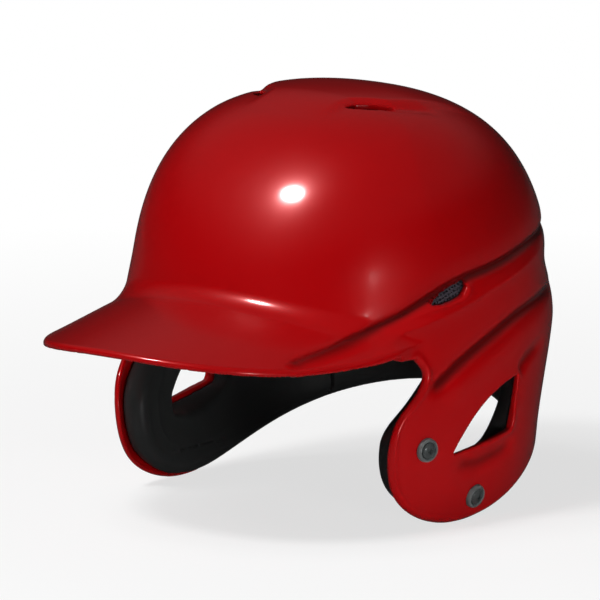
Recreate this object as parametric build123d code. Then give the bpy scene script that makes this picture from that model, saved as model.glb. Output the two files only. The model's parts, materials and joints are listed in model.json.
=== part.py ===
from build123d import *
import math
import os

# Batting helmet with two ear flaps and a visor, modelled in millimetres.
# +Z is up, the visor points along -Y and the wearer's left is +X.
# Every layer, from the painted shell to the comfort pads, is cut from the same
# head form, taken further and further inside the shell's outer surface.

# Head form: the outer surface of the shell, without its visor.
HALF_WIDTH = 102.0
FRONT_REACH = 113.5
REAR_REACH = 113.5
FORM_MIDDLE_Y = 13.0
CROWN_HEIGHT = 208.0
SHOULDER_HEIGHT = 60.0
SIDE_BULGE = 4.2
FRONT_BULGE = 2.3
REAR_BULGE = 2.4
CROWN_ROUNDNESS = 2.6
SECTION_ROUNDNESS = 2.04
TEMPLE_ROUNDNESS = 2.75
TEMPLE_HEIGHTS = (50.0, 130.0)
FLAP_TUCK = 0.10
NAPE_TUCK = 0.15
NAPE_TUCK_HEIGHTS = (36.0, 96.0)
SECTION_CLIMBS_DEG = (0, 14, 28, 42, 54, 65, 74, 81, 86)
LOWER_HEIGHTS = (-16.0, 6.0, 26.0, 44.0)
SECTION_POINTS = 24

# Visor: a slice of a tilted tube, cut to a rounded outline.
VISOR_TIP_Y = -170.5
VISOR_TIP_HEIGHT = 98.5
VISOR_HALF_WIDTH = 93.5
VISOR_BACK_Y = -22.0
VISOR_ROUNDNESS = 2.2
VISOR_RADIUS = 129.0
VISOR_SLOPE = 15.4
VISOR_THICKNESS = 3.5

# Lower rim, seen from the side as (y, z), from the visor to below the nape.
FLAP_CORNER = (-42.0, 88.0)
FLAP_RIM = (
    FLAP_CORNER, (-37.0, 80.0), (-42.5, 70.0), (-52.5, 59.0), (-57.0, 41.0),
    (-50.5, 18.0), (-32.0, 5.0), (-6.0, 0.0), (25.0, 3.5), (60.0, 14.0),
    (90.0, 28.5), (118.0, 42.0), (150.0, 52.0),
)

# Ear window, seen from the side: three corners (y, z), the bow of two edges, corner radius.
WINDOW_TOP = (31.7, 71.3)
WINDOW_REAR = (23.0, 43.5)
WINDOW_FRONT = (-19.8, 36.6)
WINDOW_UPPER_BOW = 4.3
WINDOW_LOWER_BOW = 1.2
WINDOW_CORNER = 1.5
PAD_WINDOW_MARGIN = 1.0

# Vents: length, width, middle and tilt of each slot.
SIDE_VENT = (26.0, 5.5)
SIDE_VENT_MIDDLE = (-18.0, 118.0)
SIDE_VENT_TILT = 20.0
CROWN_VENT = (27.0, 5.5)
CROWN_VENT_MIDDLE = (36.0, -7.0)
CROWN_VENT_TILT = 50.0
MESH_MARGIN = 4.0
MESH_THICKNESS = 1.0
MESH_HOLE = 1.8
MESH_PITCH = 3.0

# Layers, from the outside inwards.
SHELL_WALL = 3.5
LAYER_GAP = 0.3
LINER_WALL = 8.0
COMFORT_WALL = 5.0
EAR_PAD_WALL = 13.0
PAD_RIM_INSET = 2.0
LINER_RIM_HEIGHT = 96.0
COMFORT_FRONT_HEIGHTS = (103.0, 140.0)
COMFORT_REAR_HEIGHTS = (101.0, 138.0)
SIDE_PAD_HEIGHTS = (101.0, 150.0)
EAR_PAD_TOP = 93.0
NAPE_PAD_TOP = 93.0
NAPE_PAD_FRONT_Y = 78.0
BROW_PAD_REAR_Y = -50.0
REAR_PAD_FRONT_Y = 70.0
SIDE_PAD_Y = (-42.0, 62.0)
CROWN_PAD_LENGTH = 96.0
CROWN_PAD_WIDTH = 62.0
PAD_SEAM_GAP = 4.0

# Jaw guard fasteners on each ear flap.
SCREW_PLACES = {"front": (-37.0, 42.0), "lower": (2.5, 12.5)}
SCREW_DIAMETER = 5.0
SCREW_LENGTH = 9.0
SCREW_HEAD_DIAMETER = 8.6
SCREW_HEAD_HEIGHT = 2.4
RECESS_WIDTH = 1.1
RECESS_SPAN = 4.6
RECESS_DEPTH = 1.3
WASHER_DIAMETER = 12.5
WASHER_HEIGHT = 2.2
WASHER_FLOOR = 0.8
WASHER_LIP = 1.3
NUT_FLANGE_DIAMETER = 13.0
NUT_FLANGE_THICKNESS = 1.2
NUT_BARREL_DIAMETER = 7.0
RUNNING_CLEARANCE = 0.2
SEAT_CLEARANCE = 0.3
NUT_SEAT_SAG = 0.3
POCKET_CLEARANCE = 1.0

FAR = 300.0


def smooth_step(value):
    """Ease from 0 to 1 as the value does."""
    held = min(max(value, 0.0), 1.0)
    return held * held * (3.0 - 2.0 * held)


def signed_power(value, power):
    return math.copysign(abs(value) ** power, value)


def form_point(angle, height, inset):
    """A point of the head form at an angle and height, inset from the outer surface."""
    climb = max(0.0, (height - SHOULDER_HEIGHT) / (CROWN_HEIGHT - inset - SHOULDER_HEIGHT))
    sideways = math.cos(angle) ** 2
    rearward = math.sin(angle) > 0.0
    end_bulge = REAR_BULGE if rearward else FRONT_BULGE
    bulge = SIDE_BULGE * sideways + end_bulge * (1.0 - sideways)
    closing = (1.0 - climb ** bulge) ** (1.0 / CROWN_ROUNDNESS)
    roundness = SECTION_ROUNDNESS
    if not rearward:
        low, high = TEMPLE_HEIGHTS
        temple = 1.0 - smooth_step((height - low) / (high - low))
        roundness += (TEMPLE_ROUNDNESS - SECTION_ROUNDNESS) * temple
    roundness = 2.0 + (roundness - 2.0) * (1.0 - climb ** 2)
    below = max(0.0, 1.0 - height / SHOULDER_HEIGHT)
    width = (HALF_WIDTH - inset) * (1.0 - FLAP_TUCK * below ** 2)
    reach = FRONT_REACH - inset
    if rearward:
        low, high = NAPE_TUCK_HEIGHTS
        reach = (REAR_REACH - inset) * (1.0 - NAPE_TUCK * smooth_step((high - height) / (high - low)))
    x = width * closing * signed_power(math.cos(angle), 2.0 / roundness)
    y = FORM_MIDDLE_Y + reach * closing * signed_power(math.sin(angle), 2.0 / roundness)
    return Vector(x, y, height)


def section_heights(inset):
    dome = CROWN_HEIGHT - inset - SHOULDER_HEIGHT
    climbs = [SHOULDER_HEIGHT + dome * math.sin(math.radians(angle)) for angle in SECTION_CLIMBS_DEG]
    return [LOWER_HEIGHTS[0] - inset, *LOWER_HEIGHTS[1:], *climbs]


def head_form(inset):
    """The solid inside the outer surface moved in by an inset."""
    sections = []
    for height in section_heights(inset):
        angles = [math.pi / 2.0 + 2.0 * math.pi * step / SECTION_POINTS for step in range(SECTION_POINTS)]
        points = [form_point(angle, height, inset) for angle in angles]
        sections.append(Wire([Edge.make_spline(points, periodic=True)]))
    return Solid.make_loft(sections)


def layer(outer_inset, wall):
    return head_form(outer_inset) - head_form(outer_inset + wall)


def side_face(points, closing_points):
    """A face in the side view plane: a smooth curve through points, closed by straight lines."""
    curve = Edge.make_spline([Vector(0.0, y, z) for y, z in points])
    corners = [points[-1], *closing_points, points[0]]
    lines = [
        Edge.make_line(Vector(0.0, *start), Vector(0.0, *end))
        for start, end in zip(corners, corners[1:])
    ]
    return Face(Wire([curve, *lines]))


def across(face, low=-FAR, high=FAR):
    """A side view face stretched from one x to another."""
    return Pos(low, 0.0, 0.0) * extrude(face, high - low, dir=(1, 0, 0))


def block(x, y, z):
    """A box from its ranges along x, y and z."""
    size = [high - low for low, high in (x, y, z)]
    middle = [(high + low) / 2.0 for low, high in (x, y, z)]
    return Pos(*middle) * Box(*size)


def inset_rim(inset):
    """The lower rim's points moved in from it, square to the line between their neighbours."""
    points = []
    for index, (y, z) in enumerate(FLAP_RIM):
        before = FLAP_RIM[max(index - 1, 0)]
        after = FLAP_RIM[min(index + 1, len(FLAP_RIM) - 1)]
        length = math.dist(before, after)
        inward = ((before[1] - after[1]) / length, (after[0] - before[0]) / length)
        points.append((y + inset * inward[0], z + inset * inward[1]))
    return points


def above_rim(inset):
    """Everything above the lower rim, held back from it by an inset."""
    closing = ((FLAP_RIM[-1][0], FAR), (-FAR, FAR), (-FAR, FLAP_CORNER[1] - 30.0))
    return across(side_face(inset_rim(inset), closing))


def visor_tube(drop):
    """The inside of the tilted tube that the visor is sliced from, lowered by a drop."""
    tilt = Rot(-90.0 + VISOR_SLOPE, 0.0, 0.0)
    height = VISOR_TIP_HEIGHT - VISOR_RADIUS / math.cos(math.radians(VISOR_SLOPE))
    return Pos(0.0, VISOR_TIP_Y, height) * tilt * Cylinder(VISOR_RADIUS - drop, 2.0 * FAR)


def visor_outline():
    """The visor seen from above, back to the line where its sides leave the temples."""
    length = VISOR_BACK_Y - VISOR_TIP_Y
    angles = [math.pi * (1.0 + step / SECTION_POINTS) for step in range(SECTION_POINTS + 1)]
    points = []
    for angle in angles:
        x = VISOR_HALF_WIDTH * signed_power(math.cos(angle), 2.0 / VISOR_ROUNDNESS)
        y = VISOR_BACK_Y + length * signed_power(math.sin(angle), 2.0 / VISOR_ROUNDNESS)
        points.append(Vector(x, y, 0.0))
    edge = Edge.make_spline(points)
    return Face(Wire([edge, Edge.make_line(points[-1], points[0])]))


def visor():
    sheet = extrude(visor_outline(), FAR) & (visor_tube(0.0) - visor_tube(VISOR_THICKNESS))
    ahead = block((-FAR, FAR), (-FAR, FLAP_CORNER[0]), (0.0, FAR))
    return (sheet & ahead) - head_form(SHELL_WALL / 2.0)


def under_visor(drop):
    """The space below the visor and above the flaps' front edges, which no layer enters."""
    throat_height = FLAP_RIM[2][1]
    ahead = block((-FAR, FAR), (-FAR, FLAP_CORNER[0]), (throat_height, FAR))
    return visor_tube(VISOR_THICKNESS - drop) & ahead


def arc_edge(start, end, bow):
    """An arc in the side view plane that bows to the left of its direction."""
    length = math.dist(start, end)
    y = (start[0] + end[0]) / 2.0 - (end[1] - start[1]) / length * bow
    z = (start[1] + end[1]) / 2.0 + (end[0] - start[0]) / length * bow
    if bow == 0.0:
        return Edge.make_line(Vector(0.0, *start), Vector(0.0, *end))
    return Edge.make_three_point_arc(Vector(0.0, *start), Vector(0.0, y, z), Vector(0.0, *end))


def ear_window(margin):
    """The cutter for the ear windows of both sides, with a margin all round."""
    edges = [
        arc_edge(WINDOW_FRONT, WINDOW_TOP, WINDOW_UPPER_BOW),
        arc_edge(WINDOW_TOP, WINDOW_REAR, 0.0),
        arc_edge(WINDOW_REAR, WINDOW_FRONT, WINDOW_LOWER_BOW),
    ]
    shrunk = offset(Face(Wire(edges)), amount=-WINDOW_CORNER, kind=Kind.INTERSECTION).face()
    return across(offset(shrunk, amount=WINDOW_CORNER + margin).face())


def side_vent(margin):
    """The slot through both temples, seen from the side, with a margin all round."""
    length, width = SIDE_VENT
    slot = SlotOverall(length + 2.0 * margin, width + 2.0 * margin, rotation=SIDE_VENT_TILT)
    face = Plane(origin=(0.0, *SIDE_VENT_MIDDLE), x_dir=(0, 1, 0), z_dir=(1, 0, 0)) * slot
    return across(face.face())


def crown_vent(margin):
    """The slots through both sides of the crown, seen from above, with a margin all round."""
    length, width = CROWN_VENT
    slot = SlotOverall(length + 2.0 * margin, width + 2.0 * margin, rotation=CROWN_VENT_TILT)
    left = extrude(Pos(*CROWN_VENT_MIDDLE, CROWN_HEIGHT / 2.0) * slot, CROWN_HEIGHT)
    return left + mirror(left, about=Plane.YZ)


def outer_form_frame(y, z):
    """A frame on the left of the outer surface: z out of the shell, x towards the rear."""
    low, high = -math.pi / 2.0, math.pi / 2.0
    for _ in range(50):
        middle = (low + high) / 2.0
        if form_point(middle, z, 0.0).Y < y:
            low = middle
        else:
            high = middle
    step = 0.02
    place = form_point(middle, z, 0.0)
    rearward = form_point(middle + step, z, 0.0) - form_point(middle - step, z, 0.0)
    upward = form_point(middle, z + 1.0, 0.0) - form_point(middle, z - 1.0, 0.0)
    return Plane(origin=place, x_dir=rearward, z_dir=rearward.cross(upward))


def turned(points):
    """A solid of revolution about z from its (radius, height) corners."""
    face = Face(Wire.make_polygon([Vector(radius, 0.0, height) for radius, height in points]))
    return revolve(face, Axis.Z)


def drilled(depth, diameter):
    """A cutter from outside the shell to a depth below its surface."""
    return Pos(0.0, 0.0, 5.0) * Cylinder(
        diameter / 2.0, depth + 5.0, align=(Align.CENTER, Align.CENTER, Align.MAX)
    )


HEAD_SEAT = 2.0 * RUNNING_CLEARANCE + WASHER_FLOOR
NUT_FLANGE_TOP = SHELL_WALL + SEAT_CLEARANCE + NUT_SEAT_SAG
NUT_FLANGE_BOTTOM = NUT_FLANGE_TOP + NUT_FLANGE_THICKNESS
SCREW_TIP = SCREW_LENGTH - HEAD_SEAT


def jaw_screw():
    """Domed cross-recess screw, its head seat at HEAD_SEAT above the shell."""
    radius = SCREW_HEAD_DIAMETER / 2.0
    dome_radius = (radius ** 2 + SCREW_HEAD_HEIGHT ** 2) / (2.0 * SCREW_HEAD_HEIGHT)
    top = HEAD_SEAT + SCREW_HEAD_HEIGHT
    head = Pos(0.0, 0.0, top - dome_radius) * Sphere(dome_radius)
    head &= Pos(0.0, 0.0, HEAD_SEAT + radius) * Box(2.0 * radius, 2.0 * radius, 2.0 * radius)
    shank = turned((
        (0.0, -SCREW_TIP), (SCREW_DIAMETER / 2.0 - 0.6, -SCREW_TIP),
        (SCREW_DIAMETER / 2.0, -SCREW_TIP + 0.6), (SCREW_DIAMETER / 2.0, HEAD_SEAT + 0.2),
        (0.0, HEAD_SEAT + 0.2),
    ))
    bar = Pos(0.0, 0.0, top) * Box(RECESS_SPAN, RECESS_WIDTH, 2.0 * RECESS_DEPTH)
    return (head + shank) - (bar + Rot(0.0, 0.0, 90.0) * bar)


def cup_washer():
    """Raised ring that the screw's head sits down into."""
    bore = SCREW_DIAMETER / 2.0 + RUNNING_CLEARANCE
    cup = SCREW_HEAD_DIAMETER / 2.0 + RUNNING_CLEARANCE
    outer = WASHER_DIAMETER / 2.0
    base = RUNNING_CLEARANCE
    return turned((
        (bore, base), (outer, base), (outer - 0.2, base + WASHER_HEIGHT - 0.9),
        (outer - WASHER_LIP * 0.6, base + WASHER_HEIGHT), (cup, base + WASHER_HEIGHT - 0.3),
        (cup, base + WASHER_FLOOR), (bore, base + WASHER_FLOOR),
    ))


def flanged_nut():
    """Threaded barrel in the shell's hole, with its flange against the shell's inside."""
    bore = SCREW_DIAMETER / 2.0 + RUNNING_CLEARANCE / 2.0
    barrel = NUT_BARREL_DIAMETER / 2.0
    flange = NUT_FLANGE_DIAMETER / 2.0
    return turned((
        (bore, -SEAT_CLEARANCE), (barrel, -SEAT_CLEARANCE), (barrel, -NUT_FLANGE_TOP),
        (flange, -NUT_FLANGE_TOP), (flange, -NUT_FLANGE_BOTTOM), (bore, -NUT_FLANGE_BOTTOM),
    ))


def shell_hole():
    return drilled(SHELL_WALL * 2.0, NUT_BARREL_DIAMETER + 2.0 * RUNNING_CLEARANCE)


def pad_pocket():
    """Room in the ear pad for the nut's flange and the screw's end."""
    flange_room = drilled(NUT_FLANGE_BOTTOM + POCKET_CLEARANCE, NUT_FLANGE_DIAMETER + 2.0 * POCKET_CLEARANCE)
    return flange_room + drilled(SCREW_TIP + POCKET_CLEARANCE, SCREW_DIAMETER + 2.0 * POCKET_CLEARANCE)


def on_both_flaps(piece):
    """A cutter repeated at every fastener of both flaps."""
    left = [outer_form_frame(*place) * piece for place in SCREW_PLACES.values()]
    return left + [mirror(cutter, about=Plane.YZ) for cutter in left]


def cut_all(solid, cutters):
    for cutter in cutters:
        solid = solid - cutter
    return solid


LINER_INSET = SHELL_WALL + MESH_THICKNESS + 2.0 * LAYER_GAP
COMFORT_INSET = LINER_INSET + LINER_WALL + LAYER_GAP
EAR_PAD_INSET = SHELL_WALL + LAYER_GAP


def outer_shell():
    dome = layer(0.0, SHELL_WALL) & above_rim(0.0)
    dome = (dome - under_visor(0.0)) + visor()
    return cut_all(dome, [ear_window(0.0), side_vent(0.0), crown_vent(0.0), *on_both_flaps(shell_hole())])


def impact_liner():
    liner = layer(LINER_INSET, LINER_WALL) & block((-FAR, FAR), (-FAR, FAR), (LINER_RIM_HEIGHT, FAR))
    return cut_all(liner, [under_visor(LAYER_GAP), side_vent(0.0), crown_vent(0.0)])


def comfort_pads():
    """The brow, side, rear and crown pads that line the head's space."""
    sheet = layer(COMFORT_INSET, COMFORT_WALL)
    brow = sheet & block((-FAR, FAR), (-FAR, BROW_PAD_REAR_Y), COMFORT_FRONT_HEIGHTS)
    left = sheet & block((0.0, FAR), SIDE_PAD_Y, SIDE_PAD_HEIGHTS)
    rear = sheet & block((-FAR, FAR), (REAR_PAD_FRONT_Y, FAR), COMFORT_REAR_HEIGHTS)
    oval = Pos(0.0, FORM_MIDDLE_Y, CROWN_HEIGHT / 2.0) * Ellipse(CROWN_PAD_WIDTH / 2.0, CROWN_PAD_LENGTH / 2.0)
    crown = sheet & extrude(oval, CROWN_HEIGHT)
    return {
        "brow_pad": brow - under_visor(LAYER_GAP),
        "side_pad_left": left,
        "side_pad_right": mirror(left, about=Plane.YZ),
        "rear_pad": rear,
        "crown_pad": crown,
    }


def lower_pads():
    """The thick ear pads with their windows, and the nape pad between them."""
    sheet = layer(EAR_PAD_INSET, EAR_PAD_WALL) & above_rim(PAD_RIM_INSET)
    ear_rear = NAPE_PAD_FRONT_Y - PAD_SEAM_GAP
    left = sheet & block((0.0, FAR), (-FAR, ear_rear), (-FAR, EAR_PAD_TOP))
    left = cut_all(left - ear_window(PAD_WINDOW_MARGIN), on_both_flaps(pad_pocket())[:len(SCREW_PLACES)])
    left = left - under_visor(LAYER_GAP)
    nape = sheet & block((-FAR, FAR), (NAPE_PAD_FRONT_Y, FAR), (-FAR, NAPE_PAD_TOP))
    return {
        "ear_pad_left": left,
        "ear_pad_right": mirror(left, about=Plane.YZ),
        "nape_pad": nape,
    }


def hole_grid(length, width):
    """The small through holes of a mesh, on a grid inside a slot lying flat."""
    columns = int(length / MESH_PITCH)
    rows = int(width / MESH_PITCH)
    return GridLocations(MESH_PITCH, MESH_PITCH, columns, rows)


def vent_meshes():
    """The perforated plates that close the vents from inside the shell."""
    sheet = layer(SHELL_WALL + LAYER_GAP, MESH_THICKNESS)
    side = (sheet & side_vent(MESH_MARGIN)) & block((0.0, FAR), (-FAR, FAR), (-FAR, FAR))
    side_frame = Plane(origin=(0.0, *SIDE_VENT_MIDDLE), x_dir=(0, 1, 0), z_dir=(1, 0, 0))
    side_frame = side_frame * Rot(0.0, 0.0, SIDE_VENT_TILT)
    crown = (sheet & crown_vent(MESH_MARGIN)) & block((0.0, FAR), (-FAR, FAR), (0.0, FAR))
    crown_frame = Pos(*CROWN_VENT_MIDDLE, 0.0) * Rot(0.0, 0.0, CROWN_VENT_TILT)
    hole = Cylinder(MESH_HOLE / 2.0, 2.0 * FAR)
    side = cut_all(side, [side_frame * place * hole for place in hole_grid(*SIDE_VENT).locations])
    crown = cut_all(crown, [crown_frame * place * hole for place in hole_grid(*CROWN_VENT).locations])
    return {
        "side_vent_mesh_left": side,
        "side_vent_mesh_right": mirror(side, about=Plane.YZ),
        "crown_vent_mesh_left": crown,
        "crown_vent_mesh_right": mirror(crown, about=Plane.YZ),
    }


def fasteners():
    """Screw, cup washer and flanged nut at each place on each flap."""
    pieces = {}
    for name, place in SCREW_PLACES.items():
        frame = outer_form_frame(*place)
        for kind, piece in (("screw", jaw_screw()), ("washer", cup_washer()), ("nut", flanged_nut())):
            left = frame * piece
            pieces[f"{kind}_{name}_left"] = left
            pieces[f"{kind}_{name}_right"] = mirror(left, about=Plane.YZ)
    return pieces


def helmet():
    pieces = {"outer_shell": outer_shell(), "impact_liner": impact_liner()}
    pieces |= comfort_pads()
    pieces |= lower_pads()
    pieces |= vent_meshes()
    pieces |= fasteners()
    return pieces


def standing_place(shell):
    """The move that puts the origin under the middle of the shell, on the surface it stands on."""
    box = shell.bounding_box()
    return Pos(0.0, -(box.min.Y + box.max.Y) / 2.0, -box.min.Z)


def write_parts():
    pieces = helmet()
    place = standing_place(pieces["outer_shell"])
    os.makedirs("parts", exist_ok=True)
    for name, piece in pieces.items():
        export_step(place * piece, f"parts/{name}.step")
    return place


print("moved by", write_parts().position)
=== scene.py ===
import json
import math
from contextlib import contextmanager
from functools import cache

import bpy
import numpy as np
from mathutils import Matrix, Vector


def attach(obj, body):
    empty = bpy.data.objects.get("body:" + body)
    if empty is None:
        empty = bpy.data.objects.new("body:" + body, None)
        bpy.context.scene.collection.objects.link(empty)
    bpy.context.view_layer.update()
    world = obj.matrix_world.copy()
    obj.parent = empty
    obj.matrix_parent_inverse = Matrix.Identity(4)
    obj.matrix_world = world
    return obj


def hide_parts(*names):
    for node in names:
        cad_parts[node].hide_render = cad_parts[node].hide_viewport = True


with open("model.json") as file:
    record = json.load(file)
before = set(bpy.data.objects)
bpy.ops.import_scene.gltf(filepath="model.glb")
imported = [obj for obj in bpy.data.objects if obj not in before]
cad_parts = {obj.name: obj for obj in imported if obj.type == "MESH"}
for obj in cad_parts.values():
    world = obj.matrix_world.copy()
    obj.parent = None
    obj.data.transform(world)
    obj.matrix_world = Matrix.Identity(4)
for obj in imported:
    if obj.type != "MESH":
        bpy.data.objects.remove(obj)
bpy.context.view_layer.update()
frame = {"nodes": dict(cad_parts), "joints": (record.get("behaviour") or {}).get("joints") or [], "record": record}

# Shapes are worked out in millimetres, with z = 0 at the flaps' lower edge and the
# wearer's left at +x, and placed by the record's head mount.
MM = 0.001
HEAD_MOUNT = np.array((0.0, 13.0, 96.0))
MOUNTS = {mount["name"]: mount for mount in frame["record"]["mounts"]}
ORIGIN = np.array(MOUNTS["head"]["pos_m"]) - HEAD_MOUNT * MM

# Head form, as in the CAD part.
HALF_WIDTH, REACH, MIDDLE_Y = 102.0, 113.5, 13.0
CROWN_HEIGHT, SHOULDER_HEIGHT = 208.0, 60.0
SIDE_BULGE, FRONT_BULGE, REAR_BULGE = 4.2, 2.3, 2.4
CROWN_ROUNDNESS, SECTION_ROUNDNESS, TEMPLE_ROUNDNESS = 2.6, 2.04, 2.75
WALL, THIN_FLAP = 3.5, 0.8

# Visor, a little flatter than in the CAD part and lower towards its sides.
TIP_Y, TIP_HEIGHT, VISOR_RADIUS = -170.5, 100.0, 194.0
VISOR_HALF_WIDTH, VISOR_BACK_Y, VISOR_ROUNDNESS = 96.5, -22.0, 2.28
VISOR_SLOPE = math.radians(11.6)
SIDE_DROOP = 2.9
FLAP_FRONT_Y, SKIRT_FRONT_Y, THROAT_HEIGHT = -42.0, -53.0, 70.0

# Outlines seen from the side (y, z) and, for the crown vent, from above (x, y).
RIM = (
    (-42.0, 88.0), (-37.0, 80.0), (-42.5, 70.0), (-52.5, 59.0), (-57.0, 41.0),
    (-50.5, 18.0), (-32.0, 5.0), (-6.0, 0.0), (25.0, 5.4), (60.0, 20.6),
    (90.0, 35.4), (118.0, 47.6), (150.0, 58.5),
)
WINDOW_TOP, WINDOW_REAR, WINDOW_FRONT = (32.0, 70.6), (25.0, 43.8), (-18.6, 36.8)
PAD_WINDOW = (
    (-18.0, 34.5), (-6.0, 31.0), (5.3, 31.6), (12.9, 34.2), (19.1, 37.6), (25.6, 43.6),
    (31.0, 49.8), (35.5, 56.0), (38.0, 64.0), (34.0, 73.0), (20.0, 73.0), (4.0, 66.0),
    (-10.0, 55.0), (-18.5, 44.0),
)
SIDE_VENT = (
    (-29.8, 113.4), (-27.2, 115.8), (-21.2, 119.2), (-15.0, 121.5), (-7.6, 123.8),
    (-7.8, 120.3), (-11.0, 116.6), (-16.4, 114.6), (-22.5, 113.2),
)
CROWN_VENT = (
    (27.4, -16.6), (29.0, -10.6), (33.4, -5.4), (39.0, -0.8), (44.0, 3.2),
    (43.0, -3.0), (38.6, -9.4), (33.2, -14.0),
)

# Edge roundings, and the fasteners' holes.
RIM_EDGE, WINDOW_EDGE, VENT_EDGE, BRIM_EDGE = 1.6, 1.2, 0.9, 1.7
HOLE_RADIUS, HOLE_EDGE, HOLE_REACH = 3.75, 0.35, 12.0
# How far out the side's openings count, and how far up the crown's.
SIDE_FROM, CROWN_FROM = 40.0, 100.0
# Towards its ends the visor sinks into the dome and its fillet tightens.
VISOR_SINK, VISOR_END_Y, VISOR_LOW = 3.2, -30.0, 74.0
FILLET, FILLET_GAIN, BRIM_RELIEF = 2.5, 4.0, 0.9


# ---------------- fields
# A field is negative inside a shape and is close to the distance in millimetres.

def ease(value):
    """A smooth step from 0 to 1 as the value goes from 0 to 1."""
    held = np.clip(value, 0.0, 1.0)
    return held * held * (3.0 - 2.0 * held)


def joined(a, b, radius):
    """Union with a fillet."""
    return np.maximum(radius, np.minimum(a, b)) - np.hypot(
        np.maximum(radius - a, 0.0), np.maximum(radius - b, 0.0))


def crossed(a, b, radius):
    """Intersection with a rounded edge."""
    return np.minimum(-radius, np.maximum(a, b)) + np.hypot(
        np.maximum(a + radius, 0.0), np.maximum(b + radius, 0.0))


def form_level(P, inset):
    """Zero on the head form made smaller by inset, and negative inside it."""
    x, y, z = np.abs(P[:, 0]), P[:, 1] - MIDDLE_Y, P[:, 2]
    climb = np.maximum(0.0, (z - SHOULDER_HEIGHT) / (CROWN_HEIGHT - inset - SHOULDER_HEIGHT))
    rear = y > 0.0
    reach = (REACH - inset) * np.where(rear, 1.0 - 0.15 * ease((96.0 - z) / 60.0), 1.0)
    width = (HALF_WIDTH - inset) * (1.0 - 0.10 * np.maximum(0.0, 1.0 - z / 60.0) ** 2)
    temple = np.where(rear, 0.0, 1.0 - ease((z - 50.0) / 80.0))
    power = SECTION_ROUNDNESS + (TEMPLE_ROUNDNESS - SECTION_ROUNDNESS) * temple
    power = 2.0 + (power - 2.0) * (1.0 - np.minimum(climb, 1.0) ** 2)
    a, b = (x / width) ** power, (np.abs(y) / reach) ** power
    both = a + b + 1e-9
    bulge = (SIDE_BULGE * a + np.where(rear, REAR_BULGE, FRONT_BULGE) * b + 0.01) / (both + 0.004)
    return both ** (CROWN_ROUNDNESS / power) + climb ** bulge - 1.0


def plan_level(P, _):
    """Zero on the visor's outline seen from above, and negative inside it."""
    length = VISOR_BACK_Y - TIP_Y
    ahead = np.maximum(0.0, (VISOR_BACK_Y - P[:, 1]) / length)
    aside = np.abs(P[:, 0]) / VISOR_HALF_WIDTH
    return aside ** VISOR_ROUNDNESS + ahead ** VISOR_ROUNDNESS - 1.0


def distance(level, P, inset=0.0):
    """A level divided by its slope, which is close to a distance near its zero."""
    step = 0.02
    here = level(P, inset)
    slope = [(level(P + step * np.eye(3)[axis], inset) - here) / step for axis in range(3)]
    return here / np.maximum(np.sqrt(sum(s * s for s in slope)), 0.004)


def above_visor(P):
    """Height above the visor's upper surface, a slice of a tilted tube."""
    z = P[:, 2] - (TIP_HEIGHT - VISOR_RADIUS / math.cos(VISOR_SLOPE))
    up = z * math.cos(VISOR_SLOPE) - (P[:, 1] - TIP_Y) * math.sin(VISOR_SLOPE)
    droop = SIDE_DROOP * np.abs(P[:, 0] / 90.0) ** 3.6
    return np.hypot(P[:, 0], up) - VISOR_RADIUS + droop


# ---------------- flat maps
# Outlines and relief seen from the side (y, z) or from above (x, y), worked out once
# on a 1 mm grid and read back smoothly.

def lengths(points):
    """How far along a line each of its points is."""
    return np.concatenate([[0.0], np.cumsum(np.hypot(*np.diff(points, axis=0).T))])


def curve_through(points, step=0.5):
    """A smooth curve through points: natural cubic spline over the chord lengths."""
    p = np.array(points, float)
    t = lengths(p)
    n, h = len(p), np.diff(t)
    A, B = np.eye(n), np.zeros((n, 2))
    for i in range(1, n - 1):
        A[i, i - 1:i + 2] = h[i - 1], 2.0 * (h[i - 1] + h[i]), h[i]
        B[i] = 6.0 * ((p[i + 1] - p[i]) / h[i] - (p[i] - p[i - 1]) / h[i - 1])
    m = np.linalg.solve(A, B)
    s = np.linspace(0.0, t[-1], max(2, int(t[-1] / step)))
    k = np.clip(np.searchsorted(t, s) - 1, 0, n - 2)
    a, b, d = (t[k + 1] - s)[:, None], (s - t[k])[:, None], h[k][:, None]
    return ((m[k] * a ** 3 + m[k + 1] * b ** 3) / (6 * d) + (p[k] / d - m[k] * d / 6) * a
            + (p[k + 1] / d - m[k + 1] * d / 6) * b)


def arc(start, end, bow):
    """A shallow arc from start to end that bows to the left of its direction."""
    a, b = np.array(start), np.array(end)
    t = np.linspace(0.0, 1.0, 24)[:, None]
    left = np.array((a[1] - b[1], b[0] - a[0])) / np.hypot(*(b - a))
    return a + (b - a) * t + left * (4.0 * bow * t * (1.0 - t))


def round_corners(points, radius, step=0.4):
    """Corners of a closed outline eased by averaging it along its length."""
    p = np.vstack([points, points[:1]])
    t = lengths(p)
    s = np.arange(0.0, t[-1], step)
    p = np.column_stack([np.interp(s, t, p[:, 0]), np.interp(s, t, p[:, 1])])
    for _ in range(max(1, int(radius / step)) * 3):
        p = (np.roll(p, 1, 0) + 2.0 * p + np.roll(p, -1, 0)) / 4.0
    return p


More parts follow.
